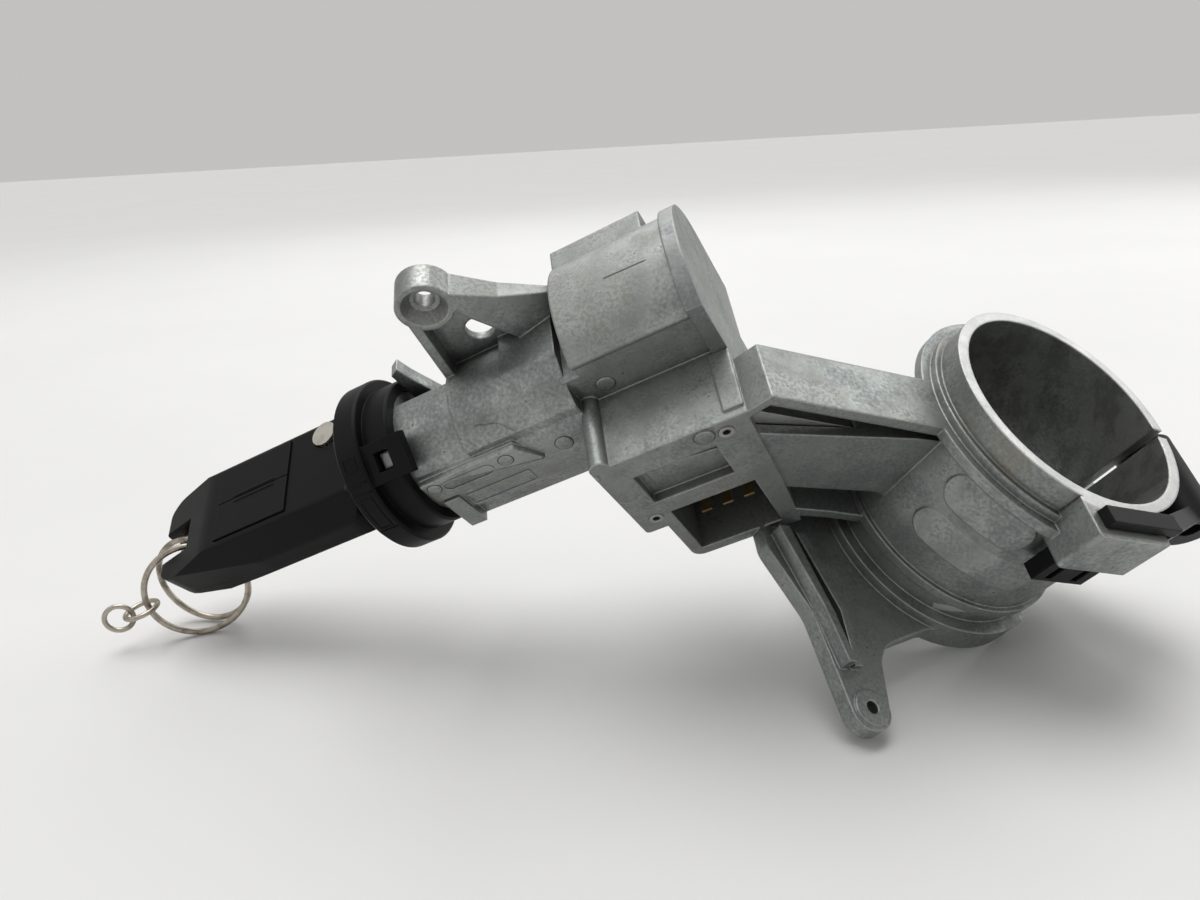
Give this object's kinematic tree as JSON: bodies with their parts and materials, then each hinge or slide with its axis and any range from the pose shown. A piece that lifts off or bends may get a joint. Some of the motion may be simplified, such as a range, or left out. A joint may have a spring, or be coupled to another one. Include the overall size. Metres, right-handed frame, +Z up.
{
  "type": "ignition lock with steering-lock housing",
  "caption": "Cast ignition lock and steering-lock housing with a split column clamp, reader ring, lock cylinder, switch, sliding bolt and a folding remote key in the lock.",
  "frame": {"origin": "centre of the column clamp's bore, half way along it", "axes": "as it lies on a bench: +Z up from the bench, +X from the key end to the clamp end, -Y towards the viewer"},
  "size_m": [0.2882, 0.0911, 0.1139],
  "materials": {
    "cast_zinc": "rough as-cast grey with dull oxide mottling",
    "cast_cover": "as-cast grey, smoother than the housing",
    "steel": "plain steel",
    "reader_plastic": "black moulded plastic",
    "coil_wire": "enamelled copper winding",
    "zinc_sleeve": "die-cast, plain",
    "plug_metal": "machined",
    "brass": "plain",
    "switch_plastic": "dark grey moulded plastic",
    "pale_plastic": "natural moulded plastic",
    "clip_plastic": "black moulded plastic",
    "blade_steel": "nickel-plated steel",
    "fob_plastic": "black, fine grain",
    "button_rubber": "soft black",
    "chrome": "bright plated, dulled by use",
    "board": "green laminate",
    "ring_steel": "tarnished steel"
  },
  "bodies": {
    "housing": {"lock_housing": "cast_zinc", "end_cover": "cast_cover", "cover_pins": "steel", "antenna_ring": "reader_plastic", "antenna_coil": "coil_wire", "cylinder_sleeve": "zinc_sleeve", "sleeve_pin": "steel", "switch_body": "switch_plastic", "switch_terminals": "brass", "column_clip": "clip_plastic", "bolt_spring": "steel"},
    "plug": {"lock_plug": "plug_metal", "wafer_tumblers": "brass", "tail_shaft": "zinc_sleeve", "switch_rotor": "pale_plastic"},
    "key": {"key_blade": "blade_steel", "blade_pivot": "blade_steel"},
    "fob": {"fob_upper_shell": "fob_plastic", "fob_lower_shell": "fob_plastic", "circuit_board": "board", "coin_cell": "steel", "transponder": "pale_plastic", "flip_spring": "steel", "tail_bar": "ring_steel"},
    "lock_pad": {"lock_button": "button_rubber"},
    "unlock_pad": {"unlock_button": "button_rubber"},
    "release": {"release_button": "chrome"},
    "bolt": {"lock_bolt": "steel", "bolt_carriage": "zinc_sleeve"},
    "ring": {"split_ring": "ring_steel"},
    "small_a": {"small_ring_a": "ring_steel"},
    "small_b": {"small_ring_b": "ring_steel"}
  },
  "joints": [
    {"name": "key_turn", "type": "hinge", "parent": "housing", "child": "plug", "pos_m": [-0.1336, 0.00322, 0.01619], "axis": [0.9067, -0.155, 0.3923], "range_deg": [0, 105]},
    {"name": "key_withdraw", "type": "slide", "parent": "plug", "child": "key", "axis": [-0.9067, 0.155, -0.3923], "range_m": [0, 0.03]},
    {"name": "fob_flip", "type": "hinge", "parent": "key", "child": "fob", "pos_m": [-0.16602, 0.01902, 0.00941], "axis": [0.4119, 0.5259, -0.7442], "range_deg": [0, 85], "stiffness_Nm_per_rad": 0.06},
    {"name": "lock_press", "type": "slide", "parent": "fob", "child": "lock_pad", "axis": [0.4119, 0.5259, -0.7442], "range_m": [0, 0.0008], "stiffness_N_per_m": 2500},
    {"name": "unlock_press", "type": "slide", "parent": "fob", "child": "unlock_pad", "axis": [0.4119, 0.5259, -0.7442], "range_m": [0, 0.0008], "stiffness_N_per_m": 2500},
    {"name": "release_press", "type": "slide", "parent": "fob", "child": "release", "axis": [0.4119, 0.5259, -0.7442], "range_m": [0, 0.0015], "stiffness_N_per_m": 2500},
    {"name": "bolt_slide", "type": "slide", "parent": "housing", "child": "bolt", "axis": [0.9057, 0.2952, -0.3042], "range_m": [0, 0.01]},
    {"name": "ring_swing", "type": "hinge", "parent": "fob", "child": "ring", "pos_m": [-0.21593, 0.01975, -0.0177], "axis": [-0.091, 0.8363, 0.5407], "range_deg": [-1, 10]},
    {"name": "small_ring_swing", "type": "hinge", "parent": "ring", "child": "small_a", "pos_m": [-0.2258, 0.0107, -0.03136], "axis": [-0.2121, -0.0543, 0.9757], "range_deg": [-12, 12]},
    {"name": "link_ring_swing", "type": "hinge", "parent": "small_a", "child": "small_b", "pos_m": [-0.23177, 0.00889, -0.03276], "axis": [0.2877, -0.9577, 0.0093], "range_deg": [-12, 12]}
  ],
  "couplings": [
    {"joint": "bolt_slide", "follows": "key_withdraw", "ratio": 0.33333}
  ]
}
